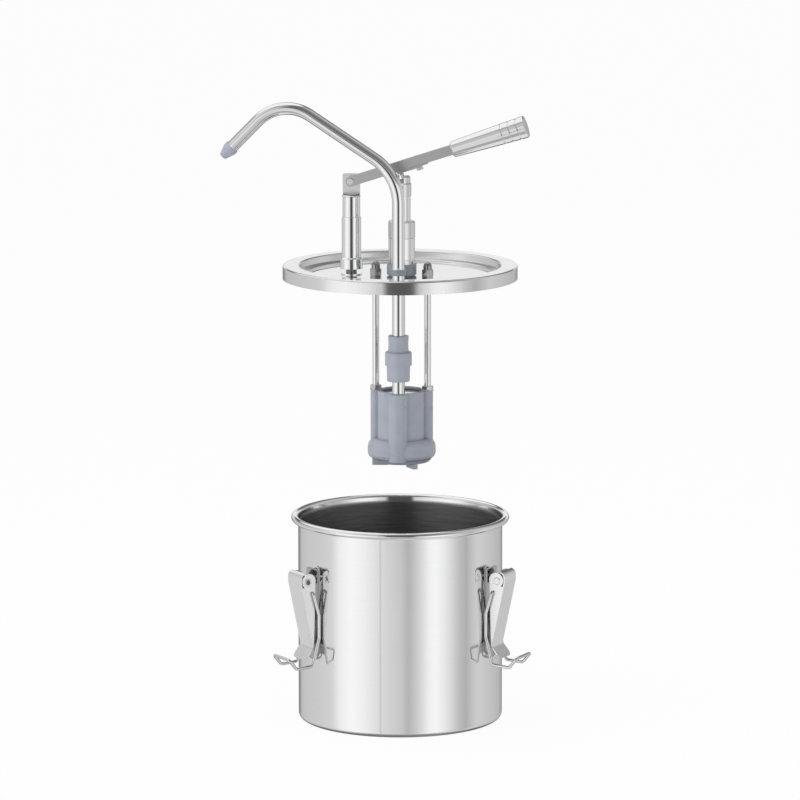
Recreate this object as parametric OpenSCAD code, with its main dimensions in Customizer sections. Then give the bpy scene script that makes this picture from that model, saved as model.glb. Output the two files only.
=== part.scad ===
// Lever pump sauce dispenser: a round steel pot with three draw latches, and a lid that carries
// a lever pump, its spout and the pump cylinder that hangs into the pot.
// Millimetres. The origin is the centre of the pot's underside, with Z up.
// The lever points along +X and the spout along -X. The front is -Y.

/* [Pose] */
// Height of the lid above its seat on the pot, 0 is the closed dispenser
lift = 219; // [0:1:260]

/* [Pot] */
// Outer diameter of the pot
pot_od = 180.4; // [150:0.2:240]
// Height to the top of the rolled bead
pot_h = 183; // [150:1:260]
// Thickness of the pot's sheet
pot_wall = 0.8; // [0.6:0.1:1.5]
// Diameter of the rolled bead
bead_d = 6; // [4:0.5:8]
// Outer radius between the floor and the wall
pot_corner = 5; // [2:0.5:12]

/* [Lid] */
// Thickness of the lid's sheet
lid_t = 0.9; // [0.6:0.1:1.2]
// Play between the plug of the lid and the pot's mouth, on the radius
lid_play = 0.4; // [0.3:0.1:1]
// Width of the flat ring around the dish
ring_w = 14.9; // [13:0.1:20]
// Height of the outer skirt
skirt_h = 11.8; // [8:0.1:14]
// Radius of the ring's edges
ring_edge = 1.5; // [1.3:0.1:2.5]
// Depth of the upper wall of the dish
dish_top = 6.2; // [4:0.1:8]
// Width of the sloping ledge in the dish
ledge_w = 5.4; // [3:0.1:8]
// Drop of the sloping ledge
ledge_drop = 1.3; // [0.5:0.1:3]
// Depth of the dish floor below the ring
dish_depth = 11; // [10:0.1:13]
// Thickness of the lid's gasket
gasket_t = 1.5; // [1:0.1:3]
// Gap between the gasket and the bead when the lid is seated
seat_gap = 0.3; // [0.3:0.1:1]

/* [Latches] */
// Turn of the three latches about the pot, from the front
clamp_turn = 10; // [0:1:60]
// Distance of the latch pivot below the pot's rim
clamp_down = 49.6; // [45:0.1:70]
// Distance of the latch pivot from the pot's wall
clamp_out = 11.3; // [10:0.1:16]
// Diameter of the latch rivet
rivet_d = 4; // [3:0.5:5]
// Width of the latch lever
clamp_w = 21.6; // [16:0.1:26]
// Thickness of the latch lever's sheet
clamp_t = 1.2; // [0.8:0.1:2]
// Distance from the latch pivot down to the bend of its tail
clamp_len = 58.6; // [45:0.1:65]
// Length of the bent tail
tail_len = 13.8; // [8:0.1:20]
// Angle of the tail to the vertical
tail_angle = 40; // [20:1:60]
// Thickness of the bracket's plate
bracket_t = 1.6; // [1:0.1:2.5]
// Distance of the bracket's lower end below the latch pivot
bracket_drop = 70.9; // [60:0.1:80]
// Diameter of the bail wire
wire_d = 2.8; // [2:0.1:3.5]
// Distance of the bail's hole below the pivot
bail_down = 10.2; // [9:0.1:14]
// Distance of the bail's hole inward of the pivot
bail_in = 4; // [2:0.1:5]
// Rise of the closed bail over the lid's ring
bail_over = 2.1; // [1.8:0.1:4]

/* [Pump layout] */
// Distance of the pump's axis behind the lid's centre
pump_y = 10; // [0:0.5:20]
// Distance of the discharge tube in front of the pump's axis
tube_front = 21; // [20:0.5:26]
// Distance from the pump's axis to the lever post
post_x = 45; // [38:0.5:55]
// Distance from the pump's axis to each tie rod
rod_x = 23; // [22:0.5:28]
// Stroke of the piston
stroke = 20; // [10:0.5:20]
// Radial clearance of the parts that slide or turn
running = 0.06; // [0.03:0.01:0.1]
// Radial clearance of the parts that are fixed together
snug = 0.05; // [0.03:0.01:0.1]
// Gap between moving parts that only pass each other
free_gap = 0.4; // [0.3:0.1:1]

/* [Spout] */
// Outer diameter of the discharge tube
tube_d = 11; // [8:0.5:12]
// Wall of the discharge tube
tube_wall = 1; // [0.6:0.1:1.5]
// Height of the first corner above the lid's ring
spout_z = 80.5; // [70:0.1:120]
// Slope of the rising part
spout_rise = 33.2; // [15:0.1:50]
// Distance from the first corner to the second
spout_run = 122.6; // [90:0.1:180]
// Slope of the falling end
spout_fall = 45.4; // [30:0.1:70]
// Length from the second corner to the tube's end
spout_end = 66; // [50:0.5:100]
// Bend radius of the first corner
bend_1 = 47; // [25:1:60]
// Bend radius of the second corner
bend_2 = 36.5; // [20:0.5:45]
// Length of the nozzle beyond the tube
nozzle_l = 9; // [5:0.5:20]
// Diameter of the nozzle's tip
nozzle_tip = 6.6; // [5:0.1:8]

/* [Lever] */
// Height of the lever's pivot above the lid's ring
pivot_z = 71.5; // [65:0.1:90]
// Angle of the resting lever above the horizontal
lever_angle = 18.2; // [10:0.1:25]
// Height of the lever bar
bar_h = 8.8; // [7:0.1:12]
// Thickness of the lever bar
bar_t = 5; // [3:0.1:7]
// Distance from the pivot to the start of the grip
grip_start = 94; // [80:0.5:130]
// Length of the grip
grip_l = 69; // [50:0.5:100]
// Diameter of the grip at its thin end
grip_d1 = 14.4; // [12:0.1:18]
// Diameter of the grip before its first groove
grip_d2 = 18.2; // [14:0.1:24]
// Diameter of the grip at its thick end
grip_d3 = 19.9; // [16:0.1:26]
// Spacing of the grip's grooves
groove_pitch = 7.2; // [5:0.1:9]
// Number of grooves
grooves = 3; // [1:1:5]
// Diameter of the pivot screw's shank
pivot_d = 4; // [3:0.5:5]

/* [Post and guide] */
// Diameter of the post's collar
post_collar_d = 19.7; // [18:0.1:24]
// Diameter of the post's sleeve
post_sleeve_d = 17; // [16:0.1:20]
// Diameter of the post's head
post_head_d = 15.5; // [14:0.1:16]
// Height of the top of the post's collar above the lid's ring
post_collar_z = 4.2; // [0:0.1:8]
// Height of the top of the post's sleeve
post_sleeve_z = 40; // [30:0.5:50]
// Diameter of the guide's sleeve
guide_d = 23.2; // [22:0.1:28]
// Height of the top of the guide's sleeve
guide_z = 22.5; // [18:0.5:26]
// Height of the guide's collar
guide_collar_h = 15; // [10:0.5:18]
// Diameter of the upper rod
rod_d = 15.6; // [12:0.1:17]
// Diameter of the lower rod
stem_d = 6; // [5:0.5:8]
// Diameter of the tie rods
tie_d = 6; // [5:0.5:8]

/* [Pump cylinder] */
// Gap between the pump's feet and the pot's floor when the lid is seated
foot_gap = 4.9; // [2:0.1:10]
// Height of the pump body
body_h = 60; // [55:0.5:60]
// Outer diameter of the cylinder
body_d = 43; // [40:0.5:50]
// Bore of the cylinder
bore_d = 27; // [20:0.5:28]
// Outer diameter of the wide base
base_d = 60; // [56:0.5:70]
// Height of the base cap's rim
cap_h = 3; // [2:0.5:5]
// Height of the feet under the base cap
foot_h = 4; // [3:0.5:6]

/* [Hidden] */

$fn = 48;
eps = 0.01;
far = 400;
seam = 0.005;

// Colours
polished = [0.80, 0.81, 0.82];
satin = [0.66, 0.67, 0.68];
grey_plastic = [0.55, 0.58, 0.65];
dark_rubber = [0.13, 0.13, 0.14];
pale_rubber = [0.86, 0.86, 0.84];

// Pot
pot_r = pot_od / 2;
pot_in = pot_r - pot_wall;
bead_r = bead_d / 2;
bead_out = 0.8;

// Lid, with every height below measured from the top of its ring
seat_z = pot_h + seat_gap + gasket_t + lid_t;
lid_z = seat_z + lift;
plug_r = pot_in - lid_play;
dish_r = plug_r - lid_t;
lid_r = dish_r + ring_w;
floor_r = dish_r - ledge_w;
floor_z = -dish_depth;
under_z = floor_z - lid_t;
tube_y = pump_y - tube_front;

// Latches
clamp_z = pot_h - clamp_down;
bracket_low = clamp_z - bracket_drop;
bail_h = seat_z - clamp_z + bail_down + bail_over;
pivot_r = pot_r + clamp_out;
clamp_half = clamp_w / 2;
ear_r = 6.8;
ear_in = 0.9;
web_out = ear_r - ear_in + 0.5 + clamp_t;
bracket_half = clamp_half - clamp_t - 0.3;
rivet_sunk = 0.1;
bail_gap = 0.9;
bail_half = clamp_half + bail_gap + wire_d / 2;
bail_bend = 3;
bail_path = [[0, 0], [-5.6, -19.5], [-5.6, -40], [1, -bail_h], [17.5, -0.8 - bail_h], [25, 8.2 - bail_h]];

// Lever and its nose, which presses on the pin across the rod's head
post_y = pump_y + bar_t / 2 + 0.3;
end_r = bar_h / 2;
nose_x = 1.2;
nose_r = 1;
nose_gap = 0.45;
head_pin_d = 4;
head_pin_z = pivot_z + 0.7;
nose_z = head_pin_z + head_pin_d / 2 + nose_gap + nose_r;
head_slot = 5.6;
head_base = pivot_z - 12;
head_step = pivot_z - 0.4;
head_top = pivot_z + 6.1;
plate_t = 1.8;
lap_z = pivot_z - 11.5;
post_top = pivot_z + 5.9;
post_groove_z = pivot_z - 12.4;
tang_h = 6;

// Direction of the spout's falling end
spout_dir = [-cos(spout_fall), 0, -sin(spout_fall)];

// Guide and return spring
neck_d = 17;
neck_z = -20;
neck_wall = 1.7;
neck_floor = 2.5;
guide_floor_z = 4;
front_lobe_z = floor_z + 8.6;
front_lobe_d = 13.4;
front_lobe_rise = 3.2;
back_lobe_d = 26;
back_lobe_rise = 1.2;
post_washer_d = 18.5;
band_z = -0.4;
rod_low = guide_floor_z + stroke + 3;
spring_wire = 1.4;

// Fasteners
stud_d = 9;
stud_top = 20;
stud_nut_h = 5;
guide_nut_h = 6;
nut_w = tie_d + 3.2;
nut_h = 3.3;
washer_t = 1;
washer_d = tie_d + 4.4;
tie_socket = 20;
presser_x = 62;
presser_pin_d = 3;
rod_pin_d = 8;
rod_pin_h = 7.3;
piston_nut_h = 4;

// Pump body and piston
cap_low = pot_wall + foot_gap + foot_h - seat_z;
body_low = cap_low + cap_h;
body_top = -body_low - body_h;
recess_d = 37;
recess_h = 4;
column_d = 16.6;
column_out = 2.8;
boss_d = 9.5;
socket_h = 15;
channel_d = 8;
plug_d = 40;
plug_h = 6;
piston_top = -body_top - recess_h - 2;
piston_h = 9;
seal_w = 1.8;

// Valve between the two tubes
valve_low = 11.5 - body_top;
valve_nut_low = valve_low + 14.1;
valve_cap_low = valve_nut_low + 11.9;
valve_top = valve_cap_low + 14.2;

// Balls, each just off a seat that slopes at 45 degrees
ball_gap = 0.3;
valve_hole = 7;
valve_seat = 8.5;
valve_ball_d = 9.5;
valve_ball_z = valve_low + valve_seat - valve_hole / 2 + (valve_ball_d / 2 + ball_gap) * sqrt(2);
inlet_hole = 8;
inlet_seat = 2;
inlet_ball_d = 13;
inlet_ball_z = cap_low + inlet_seat - inlet_hole / 2 + (inlet_ball_d / 2 + ball_gap) * sqrt(2);
cage_d = 22;
cage_sunk = 2;

// Functions

function unit(v) = v / norm(v);
function left(v) = [-v[1], v[0]];
function turn(a, b) = b - a > 180 ? b - a - 360 : b - a < -180 ? b - a + 360 : b - a;
function bearing(v) = atan2(v[1], v[0]);

// Points of the arc that rounds the corner b between a and c
function corner(a, b, c, r, n) =
    let (
        u = unit(a - b), v = unit(c - b),
        half = acos(u * v) / 2,
        m = b + unit(u + v) * r / sin(half),
        from = bearing(b + u * r / tan(half) - m),
        by = turn(from, bearing(b + v * r / tan(half) - m))
    ) [for (i = [0:n]) m + r * [cos(from + by * i / n), sin(from + by * i / n)]];

// An open path with its inner corners rounded, one radius for each point
function bent(p, r, n = 4) = [
    for (i = [0:len(p) - 1])
        each (r[i] == 0 ? [p[i]] : corner(p[i - 1], p[i], p[i + 1], r[i], n))
];

// The same path moved t to its left
function beside(p, t) = [
    for (i = [0:len(p) - 1])
        let (
            a = i == 0 ? unit(p[1] - p[0]) : unit(p[i] - p[i - 1]),
            b = i == len(p) - 1 ? a : unit(p[i + 1] - p[i]),
            n = unit(left(a) + left(b))
        ) p[i] + n * t / (n * left(a))
];

// Outline of a sheet of thickness t that lies on the left of an open path
function sheet(p, t) = let (q = beside(p, t)) concat(p, [for (i = [len(q) - 1:-1:0]) q[i]]);

// Modules that several parts share

module steel() { color(polished) children(); }
module brushed() { color(satin) children(); }
module plastic() { color(grey_plastic) children(); }

module on_lid() { translate([0, 0, lid_z]) children(); }
module at_pump() { on_lid() translate([0, pump_y, 0]) children(); }
module at_tube() { on_lid() translate([0, tube_y, 0]) children(); }
module at_post() { on_lid() translate([-post_x, post_y, 0]) children(); }
module at_ties() { for (side = [-1, 1]) at_pump() translate([side * rod_x, 0, 0]) children(); }

// Upright cylinder between two heights
module rod(d, low, high) { translate([0, 0, low]) cylinder(d = d, h = high - low); }

// Upright ring between two heights
module ring(d, hole, low, high) {
    difference() {
        rod(d, low, high);
        rod(hole, low - 1, high + 1);
    }
}

// Hexagon prism between two heights, w across its flats, with a corner towards the front
module hexagon(w, low, high) {
    translate([0, 0, low]) rotate(30) cylinder(r = w / sqrt(3), h = high - low, $fn = 6);
}

// Hexagon prism with its corners rounded off at the upper end
module nut(w, low, high) {
    corner_r = w / sqrt(3) + 0.1;
    end_r = w / 2 + 0.15;
    intersection() {
        hexagon(w, low, high);
        translate([0, 0, low]) rotate_extrude() polygon([
            [0, -1], [corner_r, -1], [corner_r, high - low - 0.7], [end_r, high - low], [end_r, high - low + 1],
            [0, high - low + 1]
        ]);
    }
}

// Places upright children at p, pointing along u
module along(p, u) { translate(p) rotate([0, acos(u[2]), bearing(u)]) children(); }

// Round bar of radius r along a path in space, with bent corners
module route(path, bends, r) {
    last = len(path) - 1;
    function dir(i) = unit(path[i + 1] - path[i]);
    function half(i) = acos(-dir(i - 1) * dir(i)) / 2;
    function trim(i) = bends[i] == 0 ? 0 : bends[i] / tan(half(i));
    for (i = [0:last - 1]) {
        from = trim(i) + (i == 0 ? 0 : seam);
        to = norm(path[i + 1] - path[i]) - trim(i + 1) - (i == last - 1 ? 0 : seam);
        along(path[i] + dir(i) * from, dir(i)) cylinder(r = r, h = to - from);
    }
    for (i = [1:last - 1]) {
        u = dir(i - 1);
        v = dir(i);
        n = unit(v - u * (u * v));
        w = cross(-n, u);
        c = path[i] - u * trim(i) + n * bends[i];
        multmatrix([[-n[0], u[0], w[0], c[0]], [-n[1], u[1], w[1], c[1]], [-n[2], u[2], w[2], c[2]]])
            rotate_extrude(angle = 180 - 2 * half(i)) translate([bends[i], 0]) circle(r);
        // Cores that join the bend to the straight lengths beside it
        for (end = [[path[i] - u * trim(i), u], [path[i] + v * trim(i), v]])
            along(end[0] - end[1] * 0.35 * r, end[1]) cylinder(r = 0.9 * r, h = 0.7 * r);
    }
}

// Coil of round wire, with ends that lie flat, as one swept tube
module coil(mean_r, wire, low, high, turns, steps = 12, sides = 6) {
    n = turns * steps;
    close = wire + 0.5;
    span = high - low - wire - 2 * close;
    function climb(t) = t < 1 ? close * t : t > turns - 1 ? close * (2 + t - turns) + span
        : close + span * (t - 1) / (turns - 2);
    rings = [
        for (i = [0:n]) let (a = 360 * i / steps, z = low + wire / 2 + climb(i / steps))
            [for (k = [0:sides - 1]) let (b = 360 * k / sides, q = mean_r + wire / 2 * cos(b))
                [q * cos(a), q * sin(a), z + wire / 2 * sin(b)]]
    ];
    points = [for (r = rings) each r];
    faces = concat(
        [for (i = [0:n - 1], k = [0:sides - 1]) let (a = i * sides + k, b = i * sides + (k + 1) % sides)
            each [[a, b, b + sides], [a, b + sides, a + sides]]],
        [for (k = [1:sides - 2]) [0, k + 1, k]],
        [for (k = [1:sides - 2]) [n * sides, n * sides + k, n * sides + k + 1]]
    );
    polyhedron(points, faces);
}

// Pot

module pot_shell() {
    // The wall flares a little below the bead
    wall = bent([[0, 0], [pot_r, 0], [pot_r, pot_h - bead_d - 2], [pot_r + bead_out, pot_h - bead_r]],
                [0, pot_corner, 0, 0], 6);
    steel() rotate_extrude($fn = 96) {
        polygon(sheet(wall, pot_wall));
        translate([pot_in + bead_out + bead_r, pot_h - bead_r]) circle(bead_r, $fn = 32);
    }
}

// Places a latch part: X runs outward from the pot's axis, Y runs up and Z along the pivot
module at_latch(i) {
    rotate(clamp_turn - 90 + (i - 2) * 120 + 60) rotate([90, 0, 0]) children();
}

module latch_brackets_one() {
    low = bracket_low + bracket_half;
    high = clamp_z + 9.3;
    // Curved plate on the wall
    intersection() {
        union() {
            translate([pot_r - 5, low, -bracket_half]) cube([10, high - low, 2 * bracket_half]);
            translate([pot_r - 5, low, 0]) rotate([0, 90, 0]) cylinder(r = bracket_half, h = 10);
        }
        translate([0, bracket_low - 1, 0]) rotate([-90, 0, 0])
            ring(2 * (pot_r + bracket_t), pot_od + 2 * eps, 0, high + 2 - bracket_low);
    }
    // Two ears that hold the rivet
    for (side = [-1, 1])
        translate([0, 0, side * (bracket_half - bracket_t / 2) - bracket_t / 2])
            difference() {
                linear_extrude(bracket_t) {
                    translate([pivot_r, clamp_z]) circle(rivet_d / 2 + 2);
                    polygon([
                        [pot_r + bracket_t / 2, clamp_z - 21], [pivot_r + 2.6, clamp_z - 3],
                        [pivot_r, clamp_z + 3.6], [pot_r + bracket_t / 2, clamp_z - 3]
                    ]);
                }
                translate([pivot_r, clamp_z, -1]) cylinder(d = rivet_d + 2 * snug, h = bracket_t + 2);
            }
}

module clamp_brackets() {
    brushed() for (i = [1:3]) at_latch(i) latch_brackets_one();
}

module clamp_rivets() {
    half = clamp_half - rivet_sunk;
    brushed() for (i = [1:3]) at_latch(i) translate([pivot_r, clamp_z, 0]) rod(rivet_d, -half, half);
}

module clamp_lever() {
    face = pivot_r + web_out;
    knee = [face, clamp_z - 1];
    low = [pivot_r - 5, clamp_z - clamp_len];
    tail = low + tail_len * [sin(tail_angle), -cos(tail_angle)];
    shoulder = [face, clamp_z + 6.6];
    top = shoulder + 4.6 * [-sin(65), cos(65)];
    web = bent([top, shoulder, knee, low, low + 1.2 * (tail - low)], [0, 5, 0, 4, 0]);
    front = bent([[-clamp_half - 0.4, top[1] + 2], [-clamp_half - 0.4, tail[1]], [clamp_half + 0.4, tail[1]],
                  [clamp_half + 0.4, top[1] + 2]], [0, 5, 5, 0], 5);
    // A point within the web's sheet, at a drop below its knee
    function core(drop) = knee + (low - knee) * drop / (knee[1] - low[1]) - [clamp_t / 2, 0];
    difference() {
        union() {
            // Web and bent tail, with the tail's corners rounded
            intersection() {
                translate([0, 0, -clamp_half]) linear_extrude(clamp_w) polygon(sheet(web, -clamp_t));
                translate([pivot_r - 20, 0, 0]) rotate([0, 90, 0]) linear_extrude(60) polygon(front);
            }
            // Side walls with their pivot ears
            for (side = [-1, 1])
                translate([0, 0, side * (clamp_half - clamp_t / 2) - clamp_t / 2]) linear_extrude(clamp_t) {
                    translate([pivot_r - ear_in, clamp_z + 0.6]) circle(ear_r);
                    polygon([
                        [pivot_r - ear_r - ear_in + 0.5, clamp_z],
                        [pivot_r - ear_r - ear_in + 0.5, clamp_z - bail_down - 4],
                        core(clamp_len - 4) - [0.9, 0], core(clamp_len - 4), core(4),
                        [pivot_r + 2, clamp_z - 4]
                    ]);
                }
        }
        translate([pivot_r, clamp_z, 0]) cylinder(d = rivet_d + 2 * running, h = far, center = true);
        translate([pivot_r - bail_in, clamp_z - bail_down, 0])
            cylinder(d = wire_d + 2 * running, h = far, center = true);
    }
}

module clamp_lever_1() { brushed() at_latch(1) clamp_lever(); }
module clamp_lever_2() { brushed() at_latch(2) clamp_lever(); }
module clamp_lever_3() { brushed() at_latch(3) clamp_lever(); }

module clamp_bail() {
    pin = clamp_half - clamp_t + 0.1;
    last = len(bail_path) - 1;
    // From one pin end, down one side, across the tip and up the other side
    way = concat(
        [[0, 0, -pin]],
        [for (p = bail_path) [p[0], p[1], -bail_half]],
        [for (i = [last:-1:0]) [bail_path[i][0], bail_path[i][1], bail_half]],
        [[0, 0, pin]]
    );
    n = len(way) - 1;
    bends = [for (i = [0:n]) i == 0 || i == n ? 0 : i == 1 || i == n - 1 ? 0.6 * bail_bend : bail_bend];
    translate([pivot_r - bail_in, clamp_z - bail_down, 0]) route(way, bends, wire_d / 2);
}

module clamp_bail_1() { steel() at_latch(1) clamp_bail(); }
module clamp_bail_2() { steel() at_latch(2) clamp_bail(); }
module clamp_bail_3() { steel() at_latch(3) clamp_bail(); }

// Lid

module lid() {
    dish = bent(
        [[lid_r, -skirt_h], [lid_r, 0], [dish_r, 0], [dish_r, -dish_top],
         [floor_r, -dish_top - ledge_drop], [floor_r, floor_z], [0, floor_z]],
        [0, ring_edge, ring_edge, 0.8, 1.2, 1, 0], 3);
    steel() difference() {
        on_lid() rotate_extrude($fn = 96) polygon(sheet(dish, lid_t));
        at_pump() rod(neck_d + 2 * snug, under_z - 1, floor_z + 1);
        at_tube() rod(tube_d + 2 * snug, under_z - 1, floor_z + 1);
        at_post() rod(stud_d + 2 * snug, under_z - 1, floor_z + 1);
        at_ties() rod(tie_d + 2 * snug, under_z - 1, floor_z + 1);
    }
}

module lid_gasket() {
    color(pale_rubber) on_lid()
        ring(2 * (lid_r - ring_edge - lid_t), 2 * (plug_r + ring_edge), -lid_t - gasket_t, -lid_t);
}

// Post of the lever

module post_washer() { steel() at_post() ring(post_washer_d, stud_d + 2 * snug, floor_z, floor_z + 1); }

module post_nut() {
    steel() at_post() difference() {
        hexagon(15, under_z - stud_nut_h, under_z);
        rod(stud_d + 2 * snug, under_z - stud_nut_h - 1, floor_z);
    }
}

module post_stud() { steel() at_post() rod(stud_d, under_z - stud_nut_h - 1.5, stud_top); }

module post_collar() {
    chamfer = 1.3;
    edge_z = post_collar_z - chamfer;
    steel() at_post() difference() {
        union() {
            rod(post_collar_d, floor_z + 5.2, edge_z);
            translate([0, 0, edge_z])
                cylinder(d1 = post_collar_d, d2 = post_collar_d - 2 * chamfer, h = chamfer);
        }
        rod(stud_d + 2 * snug, floor_z, post_collar_z + 1);
    }
}

module post_sleeve() {
    steel() at_post() ring(post_sleeve_d, stud_d + 2 * snug, post_collar_z, post_sleeve_z);
}

module post_head() {
    brushed() at_post() difference() {
        union() {
            rod(post_head_d, post_sleeve_z, post_top);
            rod(stud_d, stud_top + 0.5, post_sleeve_z + 1);
        }
        // Groove under the head
        ring(post_head_d + 2, post_head_d - 1.8, post_groove_z, post_groove_z + 1.2);
        // The lap for the lever bar
        translate([-20, -20, lap_z]) cube([40, 20, 40]);
        translate([0, 0, pivot_z]) rotate([90, 0, 0]) cylinder(d = pivot_d + 2 * snug, h = 40, center = true);
    }
}

module pivot_screw() {
    front = -bar_t - 2 * 0.3;
    steel() at_post() translate([0, 0, pivot_z]) rotate([90, 0, 0]) {
        translate([0, 0, -6]) cylinder(d = pivot_d, h = 6 - front);
        translate([0, 0, -front]) cylinder(d1 = pivot_d + 2.2, d2 = pivot_d + 1.4, h = 1.4);
    }
}

// Guide of the pump rod

module foot_block() {
    plastic() difference() {
        union() {
            at_pump() rod(back_lobe_d, floor_z + back_lobe_rise, band_z);
            at_pump() rod(back_lobe_d - 3, floor_z, band_z - 1);
            at_tube() rod(front_lobe_d, floor_z + front_lobe_rise, front_lobe_z);
            on_lid() translate([-6, tube_y, floor_z + front_lobe_rise])
                cube([12, tube_front, front_lobe_z - floor_z - front_lobe_rise]);
        }
        at_pump() rod(neck_d + 2 * snug, floor_z - 1, band_z + 1);
        at_tube() rod(tube_d + 2 * snug, floor_z - 1, band_z + 1);
    }
}

module guide_band() { steel() at_pump() ring(guide_d, neck_d + 2 * snug, band_z, guide_floor_z); }

module guide_sleeve() {
    steel() at_pump() difference() {
        union() {
            rod(guide_d, guide_floor_z, guide_z);
            rod(neck_d, neck_z, guide_floor_z + 1);
        }
        rod(rod_d + 2 * free_gap, guide_floor_z + 2, guide_z + 1);
        rod(neck_d - 2 * neck_wall, neck_z + neck_floor, guide_floor_z + 3);
        rod(stem_d + 2 * running, neck_z - 1, guide_floor_z);
    }
}

module guide_collar() {
    top = guide_z + guide_collar_h;
    chamfer = 0.8;
    edge = 0.4;
    d = guide_d + 0.4;
    brushed() at_pump() difference() {
        union() {
            translate([0, 0, guide_z]) cylinder(d1 = d - 2 * edge, d2 = d, h = edge);
            rod(d, guide_z + edge, top - chamfer);
            translate([0, 0, top - chamfer]) cylinder(d1 = d, d2 = d - 2 * chamfer, h = chamfer);
        }
        rod(rod_d + 2 * running, guide_z - 1, top + 1);
    }
}

module guide_nut() {
    steel() at_pump() difference() {
        hexagon(24, under_z - guide_nut_h, under_z);
        rod(neck_d + 2 * snug, under_z - guide_nut_h - 1, floor_z);
    }
}

// Tie rods and their nuts

module tie_rods() { steel() at_ties() rod(tie_d, -body_top - tie_socket, floor_z + 7); }

module acorn_nuts() {
    hex_h = 5.8;
    dome_r = tie_d / 2 + 0.8;
    dome_z = 8.4;
    steel() at_ties() translate([0, 0, floor_z]) difference() {
        union() {
            nut(nut_w, 0, hex_h);
            rotate_extrude() {
                square([dome_r, dome_z]);
                intersection() {
                    translate([0, dome_z]) circle(dome_r);
                    square([dome_r + 1, dome_z + dome_r + 1]);
                }
            }
        }
        rod(tie_d + 2 * snug, -1, dome_z - 0.6);
    }
}

module rod_nuts() {
    steel() at_ties() for (low = [under_z - nut_h, washer_t - body_top]) difference() {
        nut(nut_w, low, low + nut_h);
        rod(tie_d + 2 * snug, low - 1, low + nut_h + 1);
    }
}

module rod_washers() { steel() at_ties() ring(washer_d, tie_d + 2 * snug, -body_top, washer_t - body_top); }

// Spout

// Corners of the discharge tube, from a height up to past its end
function spout_way(low, extra) = let (
    c1 = [0, 0, spout_z],
    c2 = c1 + spout_run * [-cos(spout_rise), 0, sin(spout_rise)],
    c3 = c2 + (spout_end + extra) * spout_dir
) [[0, 0, low], c1, c2, c3];

module spout_tube() {
    low = valve_top - 10;
    bends = [0, bend_1, bend_2, 0];
    steel() at_tube() difference() {
        route(spout_way(low, 0), bends, tube_d / 2);
        route(spout_way(low - 1, 1), bends, tube_d / 2 - tube_wall);
    }
}

module tube_ferrule() {
    low = front_lobe_z;
    high = low + 1.6;
    steel() at_tube() difference() {
        translate([0, 0, low]) cylinder(d1 = tube_d + 1, d2 = tube_d + 0.4, h = high - low);
        rod(tube_d + 2 * snug, low - 1, high + 1);
    }
}

module spout_nozzle() {
    grip = 3;
    socket_r = tube_d / 2 + snug;
    collar_r = tube_d / 2 + 0.9;
    bore_r = nozzle_tip / 2 - 1.3;
    outline = [
        [socket_r, -grip], [collar_r, -grip], [collar_r, 0.4], [nozzle_tip / 2, nozzle_l],
        [bore_r, nozzle_l], [bore_r, 0], [socket_r, 0]
    ];
    plastic() at_tube() along(spout_way(0, 0)[3], spout_dir) rotate_extrude() polygon(outline);
}

// Outlet valve

module valve_cap() {
    flange_z = valve_cap_low - 2.2;
    outline = [
        [4.5, valve_top - 10], [4.5, valve_top - 10.1], [tube_d / 2 + snug, valve_top - 10.1],
        [tube_d / 2 + snug, valve_top], [8.9, valve_top], [9.1, valve_top - 0.4], [8.7, valve_top - 7],
        [9, valve_cap_low], [9, flange_z], [10.2, flange_z], [10.2, valve_nut_low + 6.2],
        [4.8, valve_nut_low + 6.2], [4.8, valve_top - 11.4], [4.5, valve_top - 11.4]
    ];
    plastic() at_tube() rotate_extrude() polygon(outline);
}

module valve_union_nut() {
    plastic() at_tube() difference() {
        union() {
            translate([0, 0, valve_cap_low - 0.8]) cylinder(d1 = 23.5, d2 = 21.9, h = 0.8);
            rod(23.5, valve_nut_low, valve_cap_low - 0.8);
        }
        rod(18 + 2 * snug, valve_nut_low - 1, valve_cap_low + 1);
        rod(20.4 + 2 * snug, valve_nut_low - 1, valve_cap_low - 2);
    }
}

module valve_body() {
    top = valve_nut_low + 4.7;
    seat = valve_low + valve_seat;
    outline = [
        [valve_hole / 2, valve_low + 6], [tube_d / 2 + snug, valve_low + 6], [tube_d / 2 + snug, valve_low],
        [9.7, valve_low], [10, valve_low + 0.4], [10.3, valve_nut_low - 0.1], [10.2, valve_nut_low],
        [10.2, top], [6, top], [6, seat + 6 - valve_hole / 2], [valve_hole / 2, seat]
    ];
    plastic() at_tube() rotate_extrude() polygon(outline);
}

module valve_seal() {
    color(dark_rubber) at_tube() ring(20.2, 12.4, valve_nut_low + 4.7, valve_nut_low + 6.2);
}

module valve_ball() { steel() at_tube() translate([0, 0, valve_ball_z]) sphere(d = valve_ball_d); }

module valve_spring() {
    steel() at_tube() coil(3.4, 0.9, valve_ball_z + valve_ball_d / 2 + 0.2, valve_top - 11.6, 6, 12, 6);
}

module lower_tube() {
    steel() at_tube() ring(tube_d, tube_d - 2 * tube_wall, -body_top - socket_h + 0.2, valve_low + 5.8);
}

// Pump cylinder

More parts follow.
